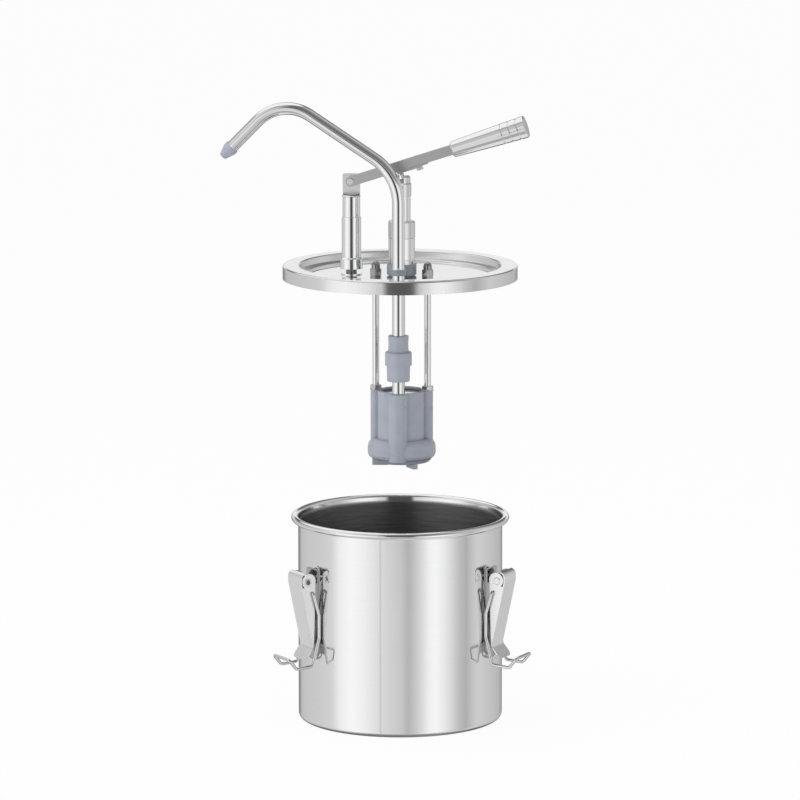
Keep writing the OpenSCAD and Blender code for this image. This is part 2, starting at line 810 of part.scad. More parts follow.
module pump_body() {
    top = -body_top;
    base_r = base_d / 2;
    plastic() difference() {
        union() {
            at_pump() rod(body_d, body_low, top);
            at_pump() rotate_extrude() polygon([
                [0, body_low], [base_r - 4, body_low], [base_r - 1.2, body_low + 1.6], [base_r, body_low + 4.2],
                [base_r, body_low + 9.6], [base_r - 0.7, body_low + 13], [base_r - 2.6, body_low + 15.8],
                [base_r - 5.4, body_low + 17.5], [0, body_low + 17.5]
            ]);
            at_ties() rod(boss_d, body_low + 8, top);
            at_tube() translate([0, -column_out, 0]) rod(column_d, body_low, top);
        }
        at_pump() rod(recess_d, top - recess_h, top + 1);
        at_pump() rod(bore_d, body_low - 1, top + 1);
        at_pump() rod(plug_d + 2 * snug, body_low - 1, body_low + plug_h + 0.2);
        at_ties() rod(tie_d + 2 * snug, top - tie_socket - 0.2, top + 1);
        at_tube() rod(tube_d + 2 * snug, top - socket_h, top + 1);
        at_tube() rod(channel_d, body_low + 11, top - socket_h + 1);
        // Passage from the cylinder to the discharge column
        at_tube() translate([0, 0, body_low + 14.5]) rotate([-90, 0, 0]) cylinder(d = 6.5, h = tube_front);
    }
}

module cover_plate() {
    low = -body_top - recess_h;
    steel() difference() {
        at_pump() ring(recess_d - 2.6, stem_d + 2 * running, low, low + 1.6);
        at_tube() rod(tube_d + 1.6, low - 1, low + 3);
    }
}

module cover_seal() {
    low = -body_top - recess_h;
    color(dark_rubber) difference() {
        at_pump() ring(recess_d - 2 * snug, recess_d - 2.4, low, low + 2.6);
        at_tube() rod(tube_d + 1.6, low - 1, low + 4);
    }
}

module base_cap() {
    inner = 12;
    outer = 26;
    rib = 4;
    plastic() at_pump() {
        difference() {
            union() {
                translate([0, 0, cap_low]) cylinder(d1 = base_d - 11, d2 = base_d - 6, h = cap_h);
                rod(plug_d, cap_low + 1, body_low + plug_h);
            }
            rod(inlet_hole, cap_low - 1, cap_low + inlet_seat + 1);
            // Seat of the inlet ball
            translate([0, 0, cap_low + inlet_seat])
                cylinder(d1 = inlet_hole, d2 = 2 * inlet_hole, h = inlet_hole / 2);
            rod(2 * inlet_hole, cap_low + inlet_seat + inlet_hole / 2 - eps, body_low + plug_h + 1);
            rod(cage_d + 2 * snug, body_low + plug_h - cage_sunk, body_low + plug_h + 1);
        }
        for (a = [-54, 66, 186])
            rotate(a) translate([inner, -rib / 2, cap_low - foot_h]) cube([outer - inner, rib, foot_h + 0.5]);
    }
}

module inlet_cage() {
    low = body_low + plug_h - cage_sunk;
    top = inlet_ball_z + inlet_ball_d / 2 + 5.5;
    steel() at_pump() difference() {
        rod(cage_d, low, top);
        rod(cage_d - 5, low - 1, top - 1.5);
        // Three windows in the side and a hole above
        for (a = [30, 150, 270])
            rotate(a) translate([0, -4, low + 4]) cube([20, 8, top - low - 7]);
        rod(7, low, top + 1);
    }
}

module inlet_ball() { steel() at_pump() translate([0, 0, inlet_ball_z]) sphere(d = inlet_ball_d); }

// Lever, drawn flat with X along the bar and then tilted up about its pivot

module at_lever() {
    on_lid() translate([-post_x, pump_y, pivot_z]) rotate([0, -lever_angle, 0]) children();
}

module lever_bar() {
    brushed() at_lever() rotate([90, 0, 0]) difference() {
        translate([0, 0, -bar_t / 2]) linear_extrude(bar_t) {
            circle(end_r);
            translate([0, -end_r]) square([grip_start, bar_h]);
            translate([0, -tang_h / 2]) square([grip_start + 0.5 * grip_l, tang_h]);
        }
        cylinder(d = pivot_d + 2 * running, h = far, center = true);
        translate([presser_x, 0, 0]) rotate([90, 0, 0])
            cylinder(d = presser_pin_d + 2 * snug, h = far, center = true);
    }
}

module lever_grip() {
    grooved = grooves * groove_pitch;
    cut_w = 1.2;
    cut_h = 0.9;
    body = [
        [0, 0], [grip_d1 / 2 - 1.4, 0], [grip_d1 / 2, 1.4], [grip_d2 / 2, grip_l - grooved - 3.5],
        [grip_d3 / 2, grip_l - 0.8], [grip_d3 / 2 - 0.8, grip_l], [0, grip_l]
    ];
    steel() at_lever() translate([grip_start, 0, 0]) rotate([0, 90, 0]) difference() {
        rotate_extrude() polygon(body);
        for (i = [1:grooves])
            ring(grip_d3 + 5, grip_d3 - 2 * cut_h - 1.5 * i / grooves,
                 grip_l - i * groove_pitch - cut_w / 2, grip_l - i * groove_pitch + cut_w / 2);
        translate([0, 0, 0.25 * grip_l])
            cube([tang_h + 2 * snug, bar_t + 2 * snug, 0.5 * grip_l + 0.4], center = true);
    }
}

module presser() {
    near = 42;
    step = presser_x + 2;
    end = presser_x + 8;
    wide = 8;
    c = cos(lever_angle);
    s = sin(lever_angle);
    rise = nose_z - pivot_z;
    run = post_x + nose_x;
    nose = [run * c + rise * s, rise * c - run * s];
    brushed() at_lever() rotate([90, 0, 0]) difference() {
        translate([0, 0, -wide / 2]) linear_extrude(wide) {
            translate([near, -end_r - plate_t]) square([step - near, plate_t]);
            translate([step - 1, -end_r - plate_t / 2]) square([end - step + 1, plate_t / 2]);
            translate(nose) circle(nose_r);
            translate([nose[0] - nose_r, nose[1]]) square([2 * nose_r, -end_r - plate_t / 2 - nose[1]]);
        }
        translate([presser_x, 0, 0]) rotate([90, 0, 0])
            cylinder(d = presser_pin_d + 2 * snug, h = far, center = true);
    }
}

module presser_screw() {
    low = end_r + plate_t;
    steel() at_lever() translate([presser_x, 0, 0]) {
        rod(presser_pin_d, -low - 2.2, end_r - 2);
        translate([0, 0, -low - 2.4]) cylinder(r = presser_pin_d + 0.1, h = 2.4, $fn = 6);
    }
}

// Pump rod and piston

module rod_head() {
    chamfer = 1.4;
    d = 15.3;
    brushed() at_pump() difference() {
        union() {
            rod(17, head_base, head_step - 0.8);
            translate([0, 0, head_step - 0.8]) cylinder(d1 = 17, d2 = d, h = 0.8);
            rod(d, head_step - 1, head_top - chamfer);
            translate([0, 0, head_top - chamfer]) cylinder(d1 = d, d2 = d - 2 * chamfer, h = chamfer);
        }
        rod(rod_pin_d + 2 * snug, head_base - 1, head_base + rod_pin_h + 0.2);
        translate([-head_slot / 2, -20, head_pin_z - 3.4]) cube([head_slot, 40, 20]);
        translate([0, 0, head_pin_z]) rotate([0, 90, 0])
            cylinder(d = head_pin_d + 2 * snug, h = 40, center = true);
    }
}

module head_pin() {
    color(dark_rubber) at_pump() translate([0, 0, head_pin_z]) rotate([0, 90, 0])
        cylinder(d = head_pin_d, h = 14.4, center = true);
}

module pump_rod() {
    steel() at_pump() {
        rod(rod_pin_d, head_base - 1, head_base + rod_pin_h);
        rod(rod_d, rod_low, head_base);
        rod(stem_d, piston_top - piston_h - piston_nut_h - 1.5, rod_low + 1);
    }
}

module piston() {
    top = piston_top;
    color(polished) at_pump() difference() {
        rod(bore_d - 4 * running, top - piston_h, top);
        rod(stem_d + 2 * snug, top - piston_h - 1, top + 1);
        for (z = [top - 1.6 - seal_w, top - piston_h + 1.6])
            ring(bore_d + 2, bore_d - 4, z, z + seal_w);
    }
}

module piston_seals() {
    top = piston_top;
    color(dark_rubber) at_pump() for (z = [top - 1.6 - seal_w, top - piston_h + 1.6])
        ring(bore_d - 2 * running, bore_d - 4 + 2 * snug, z + 0.05, z + seal_w - 0.05);
}

module piston_nut() {
    low = piston_top - piston_h - piston_nut_h;
    steel() at_pump() difference() {
        hexagon(nut_w, low, low + piston_nut_h);
        rod(stem_d + 2 * snug, low - 1, low + piston_nut_h + 1);
    }
}

module return_spring() {
    steel() at_pump() coil((neck_d - 2 * neck_wall - spring_wire) / 2 - 0.3, spring_wire,
                           neck_z + neck_floor + 0.2, rod_low - 0.2, 12, 12, 6);
}

pot_shell();
clamp_brackets();
clamp_rivets();
clamp_lever_1();
clamp_lever_2();
clamp_lever_3();
clamp_bail_1();
clamp_bail_2();
clamp_bail_3();
lid();
lid_gasket();
post_washer();
post_nut();
post_stud();
post_collar();
post_sleeve();
post_head();
pivot_screw();
foot_block();
guide_band();
guide_sleeve();
guide_collar();
guide_nut();
tie_rods();
acorn_nuts();
rod_nuts();
rod_washers();
spout_tube();
tube_ferrule();
spout_nozzle();
valve_cap();
valve_union_nut();
valve_body();
valve_seal();
valve_ball();
valve_spring();
lower_tube();
pump_body();
cover_plate();
cover_seal();
base_cap();
inlet_cage();
inlet_ball();
lever_bar();
lever_grip();
presser();
presser_screw();
rod_head();
head_pin();
pump_rod();
piston();
piston_seals();
piston_nut();
return_spring();
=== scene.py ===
"""Looks of the sauce dispenser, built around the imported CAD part. Metres, Z up, front towards -Y."""
import math

import bmesh
import bpy
from mathutils import Matrix, Vector


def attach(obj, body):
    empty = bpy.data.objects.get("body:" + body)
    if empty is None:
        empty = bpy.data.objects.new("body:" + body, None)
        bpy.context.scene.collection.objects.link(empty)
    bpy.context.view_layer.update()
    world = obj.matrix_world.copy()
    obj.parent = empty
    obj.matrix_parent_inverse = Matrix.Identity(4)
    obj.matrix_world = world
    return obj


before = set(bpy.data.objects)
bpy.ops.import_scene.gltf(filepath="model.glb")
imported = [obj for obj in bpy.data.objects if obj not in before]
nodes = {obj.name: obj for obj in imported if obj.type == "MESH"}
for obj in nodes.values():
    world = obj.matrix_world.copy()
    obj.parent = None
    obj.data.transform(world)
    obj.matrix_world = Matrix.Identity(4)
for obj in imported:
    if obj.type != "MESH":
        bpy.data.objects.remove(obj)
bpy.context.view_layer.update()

# Places in the row's frame, the same as in the part's source: the lid's ring, the pump's and the post's
# axes, the lever's pivot, and the latches' rivets round the pot
LID_Z = 0.4047
PUMP_Y = 0.010
POST = (-0.045, 0.0128)
PIVOT_Z = LID_Z + 0.0715
LATCH_TURNS = (-140, -20, 100)
RIVET_R = 0.1015
RIVET_Z = 0.1334

# The camera's angles, and the width of its picture in pixels
CAM_AZ = math.radians(8)
CAM_EL = math.radians(9.667)
CAM_ROLL = math.radians(-0.021)
PHOTO_W = 800

# Directions along the floor: to the camera's right, and from the object to the camera
RIGHTWARD = Vector((math.cos(CAM_AZ), math.sin(CAM_AZ), 0))
CAMWARD = Vector((math.sin(CAM_AZ), -math.cos(CAM_AZ), 0))


# ---------------------------------------------------------------- node helpers

def link(tree, a, b):
    tree.links.new(a, b)


def feed(tree, socket, value):
    """Sets a socket to a number, or links another socket to it."""
    if isinstance(value, (int, float)):
        socket.default_value = value
    else:
        link(tree, value, socket)


def new_group(name, inputs, outputs):
    """A shader node group with its sockets made, and its two end nodes."""
    g = bpy.data.node_groups.new(name, "ShaderNodeTree")
    for kind, side in ((inputs, "INPUT"), (outputs, "OUTPUT")):
        for label, form, value in kind:
            s = g.interface.new_socket(name=label, in_out=side, socket_type="NodeSocket" + form)
            if value is not None and side == "INPUT":
                s.default_value = value
    return g, g.nodes.new("NodeGroupInput"), g.nodes.new("NodeGroupOutput")


def use_group(tree, group, **values):
    n = tree.nodes.new("ShaderNodeGroup")
    n.node_tree = group
    for k, v in values.items():
        n.inputs[k.replace("_", " ")].default_value = v
    return n.outputs[0]


def on_object(tree):
    """The point's own place, which moves with its part."""
    return tree.nodes.new("ShaderNodeTexCoord").outputs["Object"]


def math_node(tree, op, *values):
    n = tree.nodes.new("ShaderNodeMath")
    n.operation = op
    for i, v in enumerate(values):
        feed(tree, n.inputs[i], v)
    return n.outputs[0]


def vector_node(tree, op, a, b, output="Vector"):
    """Vector maths on a socket and either another socket or a plain vector."""
    n = tree.nodes.new("ShaderNodeVectorMath")
    n.operation = op
    link(tree, a, n.inputs[0])
    if isinstance(b, (tuple, Vector)):
        n.inputs[1].default_value = b
    else:
        link(tree, b, n.inputs["Scale" if op == "SCALE" else 1])
    return n.outputs[output]


def noise(tree, vector, scale=1.0, detail=2.0, rough=0.6):
    n = tree.nodes.new("ShaderNodeTexNoise")
    n.inputs["Scale"].default_value = scale
    n.inputs["Detail"].default_value = detail
    n.inputs["Roughness"].default_value = rough
    link(tree, vector, n.inputs["Vector"])
    return n.outputs[0]


def combine(tree, x, y, z):
    n = tree.nodes.new("ShaderNodeCombineXYZ")
    for i, v in enumerate((x, y, z)):
        feed(tree, n.inputs[i], v)
    return n.outputs[0]


def split(tree, vector):
    n = tree.nodes.new("ShaderNodeSeparateXYZ")
    link(tree, vector, n.inputs[0])
    return n.outputs


def mapped(tree, value, low, high, to_low=0.0, to_high=1.0):
    """The value's stretch from low to high, laid out from to_low to to_high and held at both ends."""
    n = tree.nodes.new("ShaderNodeMapRange")
    for i, v in enumerate((value, low, high, to_low, to_high)):
        feed(tree, n.inputs[i], v)
    return n.outputs[0]


def marked(tree, marks, to_low=0.0, to_high=1.0):
    """The middle stretch of a noise, which holds nearly all of it, laid out from to_low to to_high."""
    return mapped(tree, marks, 0.3, 0.7, to_low, to_high)


def blend_colour(tree, factor, a, b):
    mix = tree.nodes.new("ShaderNodeMix")
    mix.data_type = "RGBA"
    link(tree, factor, mix.inputs["Factor"])
    for key, v in (("A", a), ("B", b)):
        if isinstance(v, tuple):
            mix.inputs[key].default_value = (*v, 1)
        else:
            link(tree, v, mix.inputs[key])
    return mix.outputs["Result"]


def mix_shaders(tree, factor, a, b):
    n = tree.nodes.new("ShaderNodeMixShader")
    for i, v in enumerate((factor, a, b)):
        link(tree, v, n.inputs[i])
    return n.outputs[0]


def emission(tree, level):
    n = tree.nodes.new("ShaderNodeEmission")
    n.inputs["Color"].default_value = (level, level, level, 1)
    return n.outputs[0]


def from_centre(tree, centre):
    """A point's distances from an upright axis along X and Y, straight from it, and its height."""
    p = split(tree, on_object(tree))
    dx = math_node(tree, "SUBTRACT", p[0], centre.outputs["Centre X"])
    dy = math_node(tree, "SUBTRACT", p[1], centre.outputs["Centre Y"])
    squares = math_node(tree, "ADD", math_node(tree, "MULTIPLY", dx, dx), math_node(tree, "MULTIPLY", dy, dy))
    return dx, dy, math_node(tree, "SQRT", squares), p[2]


# ---------------------------------------------------------------- shared effects

CENTRE = [("Centre X", "Float", 0.0), ("Centre Y", "Float", 0.0)]


def turned_group():
    """Fine marks of a part turned or spun about an upright axis through Centre."""
    g, gi, go = new_group("turned_marks", CENTRE + [("Pitch", "Float", 1500.0)], [("Marks", "Float", None)])
    dx, dy, r, z = from_centre(g, gi)
    round_marks = 3.0
    v = combine(g, math_node(g, "MULTIPLY", r, gi.outputs["Pitch"]),
                math_node(g, "MULTIPLY", z, gi.outputs["Pitch"]),
                math_node(g, "MULTIPLY", math_node(g, "ARCTAN2", dy, dx), round_marks))
    link(g, noise(g, v, detail=3.0), go.inputs["Marks"])
    return g


def straight_group():
    """Fine marks along one direction, given by how much each axis is stretched."""
    g, gi, go = new_group("straight_marks", [("Stretch", "Vector", (1.0, 1.0, 1.0))],
                          [("Marks", "Float", None)])
    v = vector_node(g, "MULTIPLY", on_object(g), gi.outputs["Stretch"])
    link(g, noise(g, v, detail=3.0), go.inputs["Marks"])
    return g


def handling_group():
    """Slow, uneven polish left by handling, for roughness and tint."""
    g, gi, go = new_group("handling", [("Scale", "Float", 40.0)], [("Wear", "Float", None)])
    v = vector_node(g, "SCALE", on_object(g), gi.outputs["Scale"])
    link(g, mapped(g, noise(g, v, detail=4.0), 0.35, 0.65), go.inputs["Wear"])
    return g


def zone_group():
    """Which side of a circle about an upright axis a point is on: 0 within Edge, 1 beyond it."""
    g, gi, go = new_group("ring_zone", CENTRE + [("Edge", "Float", 0.1)], [("Beyond", "Float", None)])
    r = from_centre(g, gi)[2]
    fade = 0.0002
    link(g, mapped(g, math_node(g, "SUBTRACT", r, gi.outputs["Edge"]), -fade, fade), go.inputs["Beyond"])
    return g


TURNED = turned_group()
ZONE = zone_group()
STRAIGHT = straight_group()
HANDLING = handling_group()


def start_material(name):
    m = bpy.data.materials.new(name)
    m.use_nodes = True
    t = m.node_tree
    t.nodes.clear()
    return m, t, t.nodes.new("ShaderNodeOutputMaterial")


def start_surface(name):
    m, t, out = start_material(name)
    b = t.nodes.new("ShaderNodeBsdfPrincipled")
    link(t, b.outputs[0], out.inputs[0])
    return m, t, b


def shades(colour, tint):
    """The colour a little darker and a little lighter."""
    return tuple(c * (1 - tint) for c in colour), tuple(min(1, c * (1 + tint)) for c in colour)


def textured(tree, shader, height, strength, depth, bevel):
    """Gives the shader a fine relief, over edges softened by the radius bevel."""
    n = tree.nodes.new("ShaderNodeBump")
    n.inputs["Strength"].default_value = strength
    n.inputs["Distance"].default_value = depth
    link(tree, height, n.inputs["Height"])
    if bevel:
        e = tree.nodes.new("ShaderNodeBevel")
        e.samples = 4
        e.inputs["Radius"].default_value = bevel
        link(tree, e.outputs[0], n.inputs["Normal"])
    link(tree, n.outputs[0], shader.inputs["Normal"])


def metal(name, colour, rough, marks, bump=0.02, spread=0.06, tint=0.04, bevel=0.0, second=None):
    """Bare steel: marks is ("turned", x, y, pitch) or ("straight", (x, y, z)), and second is another
    finish on part of it, as (zone, colour socket or value, roughness, metallic), made from the tree."""
    m, t, b = start_surface(name)
    if marks[0] == "turned":
        lines = use_group(t, TURNED, Centre_X=marks[1], Centre_Y=marks[2], Pitch=marks[3])
    else:
        lines = use_group(t, STRAIGHT, Stretch=marks[1])
    wear = use_group(t, HANDLING, Scale=40.0)
    b.inputs["Metallic"].default_value = 1.0
    finish = math_node(t, "ADD", marked(t, lines, rough - spread / 2, rough + spread / 2),
                       mapped(t, wear, 0.0, 1.0, -spread / 3, spread / 3))
    shade = blend_colour(t, marked(t, lines), *shades(colour, tint))
    if second:
        zone, colour_2, rough_2, metal_2 = second(t)
        shade = blend_colour(t, zone, shade, colour_2)
        finish = mapped(t, zone, 0.0, 1.0, finish, rough_2)
        link(t, mapped(t, zone, 0.0, 1.0, 1.0, metal_2), b.inputs["Metallic"])
    link(t, finish, b.inputs["Roughness"])
    link(t, shade, b.inputs["Base Color"])
    textured(t, b, lines, bump, 0.0005, bevel)
    return m


def moulded(name, colour, rough, bump=0.05, bevel=0.0):
    """Moulded plastic or rubber with a fine even grain and slow variation."""
    m, t, b = start_surface(name)
    wear = use_group(t, HANDLING, Scale=70.0)
    link(t, blend_colour(t, wear, *shades(colour, 0.05)), b.inputs["Base Color"])
    link(t, mapped(t, wear, 0.0, 1.0, rough - 0.05, rough + 0.05), b.inputs["Roughness"])
    textured(t, b, noise(t, on_object(t), 2500.0), bump, 0.0003, bevel)
    return m


# ---------------------------------------------------------------- second finishes, some with painted shade

STEEL = (0.80, 0.80, 0.805)


def inside_pot_painted_shade(t):
    """The pot's satin inside, brushed round, which is less of a mirror than the outside, with painted shade
    in its far darker colour.
    """
    mid_wall = 0.0897
    beyond = use_group(t, ZONE, Edge=mid_wall)
    above_base = mapped(t, split(t, on_object(t))[2], 0.0003, 0.0006)
    within = math_node(t, "MULTIPLY", math_node(t, "SUBTRACT", 1.0, beyond), above_base)
    brush = use_group(t, TURNED, Pitch=650.0)
    # Painted shade: the inside's colour, 0.22 to 0.36, is far darker than the outside's steel
    return within, blend_colour(t, marked(t, brush), (0.22, 0.22, 0.22), (0.36, 0.36, 0.36)), 0.38, 0.94


def lid_skirt(t):
    """The lid's skirt, with fine upright lines from the press tool, and the duller wall of its dish."""
    skirt = use_group(t, ZONE, Edge=0.1022)
    dish_wall = math_node(t, "SUBTRACT", use_group(t, ZONE, Edge=0.0820), use_group(t, ZONE, Edge=0.0890))
    p = split(t, on_object(t))
    across = math_node(t, "MULTIPLY", math_node(t, "ARCTAN2", p[1], p[0]), 110.0)
    lines = noise(t, combine(t, across, math_node(t, "MULTIPLY", p[2], 30.0), 0.0))
    shade = blend_colour(t, marked(t, lines), (0.73, 0.73, 0.73), (0.80, 0.80, 0.80))
    return math_node(t, "ADD", skirt, dish_wall), shade, mapped(t, skirt, 0.0, 1.0, 0.26, 0.15), 1.0


def latch_top_painted_shade(t):
    """The latches' up-facing shoulders, bent over the rivet, smoother than the flats and darker in colour,
    which is painted shade.
    """
    up = split(t, t.nodes.new("ShaderNodeNewGeometry").outputs["Normal"])[2]
    # Painted shade: faces turned upward get a darker colour, 0.60 against the flats' 0.88
    return mapped(t, up, 0.80, 0.92), (0.60, 0.60, 0.605), 0.12, 1.0


def post_neck(t):
    """The bright turned neck under the satin head of the lever's post."""
    z = split(t, on_object(t))[2]
    return mapped(t, z, PIVOT_Z - 0.0118, PIVOT_Z - 0.0116, 1.0, 0.0), STEEL, 0.08, 1.0


def white_nose(t):
    """The tip of the presser's nose, below the steel plate, made white and not metal."""
    tip = (0.0012, PUMP_Y, LID_Z + 0.0750)
    away = vector_node(t, "DISTANCE", on_object(t), tip, "Value")
    return mapped(t, away, 0.0052, 0.0054, 1.0, 0.0), (0.86, 0.86, 0.85), 0.4, 0.0


# ---------------------------------------------------------------- materials

def grey(level):
    """A steel's grey, which is a little bluer than even."""
    return level, level, level + 0.005


def even(marks):
    """Marks as fine along each axis."""
    return "straight", (marks, marks, marks)


ON_POT = ("turned", 0, 0)
ON_POST = ("turned", *POST, 3500.0)
ON_PUMP = ("turned", 0, PUMP_Y)
PRESSED = ("straight", (300, 300, 60))

mats = {
    "pot": metal("pot_steel", STEEL, 0.06, (*ON_POT, 2500.0), bump=0.006, spread=0.03, tint=0.015,
                 second=inside_pot_painted_shade),
    "lid": metal("lid_steel", STEEL, 0.11, (*ON_POT, 2200.0), bump=0.008, spread=0.04, tint=0.02,
                 second=lid_skirt),
    "latch": metal("latch_steel", grey(0.88), 0.34, PRESSED, bump=0.004, spread=0.03, tint=0.02, bevel=0.0003,
                   second=latch_top_painted_shade),
    # Painted shade: the brackets between the latch plates get a darker steel for the shadow there
    "bracket": metal("bracket_steel_painted_shade", grey(0.50), 0.16, PRESSED, bump=0.004, spread=0.03, tint=0.02,
                     bevel=0.0003),
    "wire": metal("wire_steel", grey(0.72), 0.08, even(700), bump=0.004, spread=0.03),
    "rivet": metal("rivet_steel", (0.76, 0.76, 0.76), 0.24, even(800), bevel=0.0003),
    # Painted shade: the near-black steel of the rivets' shallow hollow floors stands for the shade in them
    "hollow": metal("hollow_painted_shade_steel", (0.14, 0.14, 0.14), 0.30, even(900)),
    "post": metal("post_steel", STEEL, 0.08, ON_POST, bump=0.01, spread=0.03, tint=0.02, bevel=0.0003),
    "post_satin": metal("post_satin_steel", grey(0.90), 0.32, ("straight", (2000, 2000, 300)), bump=0.01,
                        tint=0.02, bevel=0.0004, second=post_neck),
    "presser": metal("presser_steel", grey(0.60), 0.32, ("straight", (300, 2000, 2000)), bump=0.01, tint=0.02,
                     bevel=0.0003, second=white_nose),
    "guide": metal("guide_steel", STEEL, 0.12, (*ON_PUMP, 3500.0), bump=0.01, spread=0.03, tint=0.02,
                   bevel=0.0003),
    "guide_satin": metal("guide_satin_steel", grey(0.72), 0.24, (*ON_PUMP, 2500.0), bump=0.008, spread=0.03,
                         tint=0.015, bevel=0.0004),
    "band": metal("band_steel", (0.74, 0.72, 0.66), 0.18, (*ON_PUMP, 3500.0), bevel=0.0003),
    "tube": metal("tube_steel", STEEL, 0.08, even(500), bump=0.001, spread=0.02, tint=0.015),
    "rods": metal("rod_steel", STEEL, 0.12, ("straight", (1500, 1500, 100)), bump=0.003, spread=0.03,
                  bevel=0.0002),
    "hex": metal("plain_nut_steel", grey(0.52), 0.16, even(1500), bevel=0.0003),
    # Painted reflection: the acorn nuts, and the stud's thread, get a dark steel standing for the dark their
    # polish mirrors
    "nuts": metal("nut_steel", grey(0.34), 0.09, even(1500), bevel=0.0003),
    "bar": metal("bar_steel", grey(0.62), 0.34, ("straight", (150, 2500, 2500)), bump=0.01, tint=0.02,
                 bevel=0.0004),
    "grip": metal("grip_steel", STEEL, 0.07, ("straight", (2500, 500, 2500)), bump=0.006, spread=0.02,
                  tint=0.02, bevel=0.0003),
    "plastic": moulded("grey_plastic", (0.488, 0.521, 0.605), 0.32, bump=0.015, bevel=0.0006),
    "nozzle": moulded("nozzle_plastic", (0.455, 0.487, 0.575), 0.36, bump=0.01),
    # Painted shade: the foot block's plastic is made darker than the body's for the shade on it
    "foot": moulded("foot_plastic_painted_shade", (0.405, 0.443, 0.503), 0.38, bump=0.015, bevel=0.0005),
    "rubber": moulded("dark_rubber", (0.02, 0.02, 0.022), 0.5),
    "seal": moulded("grey_rubber", (0.20, 0.20, 0.19), 0.5),
    "gasket": moulded("pale_rubber", (0.72, 0.72, 0.69), 0.45),
}
dress = {
    "pot": ["pot_shell"],
    "lid": ["lid"],
    "latch": ["clamp_lever_1", "clamp_lever_2", "clamp_lever_3"],
    "bracket": ["clamp_brackets"],
    "wire": ["clamp_bail_1", "clamp_bail_2", "clamp_bail_3"],
    "rivet": ["clamp_rivets", "presser_screw"],
    "post": ["post_washer", "post_nut", "post_stud", "post_collar", "post_sleeve"],
    "post_satin": ["post_head", "pivot_screw"],
    "presser": ["presser"],
    "guide": ["guide_sleeve", "guide_nut", "pump_rod", "piston", "piston_nut", "inlet_cage"],
    "guide_satin": ["guide_collar", "rod_head"],
    "band": ["guide_band"],
    "tube": ["spout_tube", "lower_tube", "tube_ferrule"],
    "hex": ["rod_nuts", "rod_washers"],
    "rods": ["tie_rods", "cover_plate", "head_pin", "valve_ball", "inlet_ball", "valve_spring",
             "return_spring"],
    "nuts": ["acorn_nuts"],
    "bar": ["lever_bar"],
    "grip": ["lever_grip"],
    "nozzle": ["spout_nozzle"],
    "plastic": ["valve_cap", "valve_union_nut", "valve_body", "pump_body", "base_cap"],
    "foot": ["foot_block"],
    "rubber": ["valve_seal", "piston_seals"],
    "seal": ["cover_seal"],
    "gasket": ["lid_gasket"],
}
for finish, names in dress.items():
    for name in names:
        slots = nodes[name].data.materials
        slots.clear()
        slots.append(mats[finish])


def brush_round(material):
    """Brushing that runs round the pot draws out upright what it mirrors."""
    t = material.node_tree
    b = next(n for n in t.nodes if n.type == "BSDF_PRINCIPLED")
    b.inputs["Anisotropic"].default_value = 0.85
    b.inputs["Anisotropic Rotation"].default_value = 0.25
    n = t.nodes.new("ShaderNodeTangent")
    n.direction_type = "RADIAL"
    n.axis = "Z"
    link(t, n.outputs[0], b.inputs["Tangent"])


brush_round(mats["pot"])

# Mirrors leave out the lid and its gasket, so that the posts and the tube keep clean upright bands down
# to their feet, as photographed
for name in ("lid", "lid_gasket"):
    nodes[name].visible_glossy = False


# ---------------------------------------------------------------- small turned pieces

def put(name, data):
    """A new object in the scene."""
    o = bpy.data.objects.new(name, data)
    bpy.context.scene.collection.objects.link(o)
    return o


def turned(name, outline, material, body, place, axis=(0, 0, 1), steps=64):
    """A closed ring or disc: the outline's (radius, height) points turned about an axis through place."""
    bm = bmesh.new()
    spin = Vector(axis).to_track_quat("Z", "Y")

    def point(r, z, i):
        a = 2 * math.pi * i / steps
        return bm.verts.new(Vector(place) + spin @ Vector((r * math.cos(a), r * math.sin(a), z)))

    rows = [[point(r, z, i) for i in range(steps if r else 1)] for r, z in outline]
    pairs = list(zip(rows, rows[1:]))
    if outline[0][0] and outline[-1][0]:
        pairs.append((rows[-1], rows[0]))
    for a, b in pairs:
        for i in range(steps):
            j = (i + 1) % steps
            ring = [a[i % len(a)], a[j % len(a)], b[j % len(b)], b[i % len(b)]]
            bm.faces.new(list(dict.fromkeys(ring)))
    bmesh.ops.recalc_face_normals(bm, faces=bm.faces)
    me = bpy.data.meshes.new(name)
    bm.to_mesh(me)
    bm.free()
    for f in me.polygons:
        f.use_smooth = True
    me.set_sharp_from_angle(angle=math.radians(35))
    me.materials.append(material)
    o = put(name, me)
    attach(o, body)


def post_rings():
    """The dark ring under the head of the lever's post, a black piece that is painted shade in the groove
    there, and the bright bead below it.
    """
    at = (*POST, PIVOT_Z)
    dark = [(0.0066, -0.01215), (0.0073, -0.01215), (0.0073, -0.01140), (0.0066, -0.01140)]
    bead = [(0.0070, -0.01210), (0.0073, -0.01210), (0.0083, -0.01294), (0.0083, -0.01315),
            (0.0077, -0.01375), (0.0070, -0.01375)]
    # Painted shade: a black ring in the dark rubber stands for the groove's shade line
    turned("post_painted_shade_ring", dark, mats["rubber"], "pump_unit", at)
    turned("post_bead", bead, mats["post"], "pump_unit", at)


def stud_thread():
    """The thread of the lever post's stud, seen between the washer and the collar."""
    low, high, turns = LID_Z - 0.0100, LID_Z - 0.0058, 4
    core, root, crest = 0.0043, 0.00452, 0.0050
    pitch = (high - low) / turns
    outline = [(core, low)]
    for i in range(turns):
        z = low + i * pitch
        outline += [(root, z + 0.08 * pitch), (crest, z + 0.45 * pitch), (crest, z + 0.55 * pitch),
                    (root, z + 0.92 * pitch)]
    outline.append((core, high))
    # The thread takes the nuts' dark steel, with its painted dark reflection
    turned("stud_thread", outline, mats["nuts"], "pump_unit", (*POST, 0))


